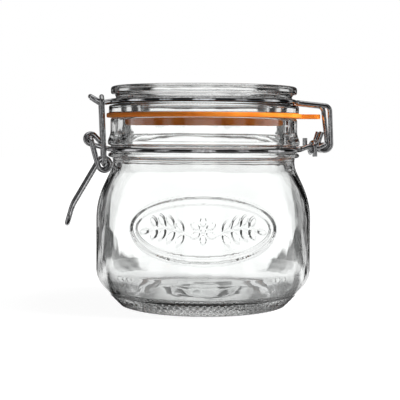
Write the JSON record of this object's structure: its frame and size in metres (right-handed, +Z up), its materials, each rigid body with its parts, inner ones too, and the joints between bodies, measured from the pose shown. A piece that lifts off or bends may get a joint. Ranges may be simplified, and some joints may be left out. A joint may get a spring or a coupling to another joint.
{
  "type": "clip-top jar",
  "caption": "Empty round clip-top glass jar, closed, with a flanged glass lid on an orange rubber ring, a wire hinge behind and a wire lever latch in front.",
  "frame": {"origin": "middle of the foot ring, on the surface that the jar stands on", "axes": "+Z up along the jar's axis, +X towards the hinge, -X towards the latch"},
  "size_m": [0.1314, 0.1048, 0.1066],
  "materials": {
    "clear_glass": "clear pressed glass",
    "spring_wire": "bright plated spring wire",
    "orange_rubber": "satin orange rubber"
  },
  "bodies": {
    "jar": {"jar_body": "clear_glass", "neck_ring": "spring_wire"},
    "lid": {"lid": "clear_glass", "seal": "orange_rubber", "lid_bail": "spring_wire"},
    "lever": {"latch_lever": "spring_wire"},
    "loop": {"latch_loop": "spring_wire"}
  },
  "joints": [
    {"name": "lid_hinge", "type": "hinge", "parent": "jar", "child": "lid", "pos_m": [0.0596, 0, 0.07905], "axis": [0, 1, 0], "range_deg": [0, 180]},
    {"name": "lever_swing", "type": "hinge", "parent": "jar", "child": "lever", "pos_m": [-0.0551, 0, 0.08105], "axis": [0, -1, 0], "range_deg": [-90, 0]},
    {"name": "loop_swing", "type": "hinge", "parent": "lever", "child": "loop", "pos_m": [-0.0488, 0, 0.0689], "axis": [0, 1, 0], "range_deg": [-141, 0]}
  ],
  "couplings": [
    {"joint": "loop_swing", "follows": "lever_swing", "ratio": 1.5667}
  ]
}
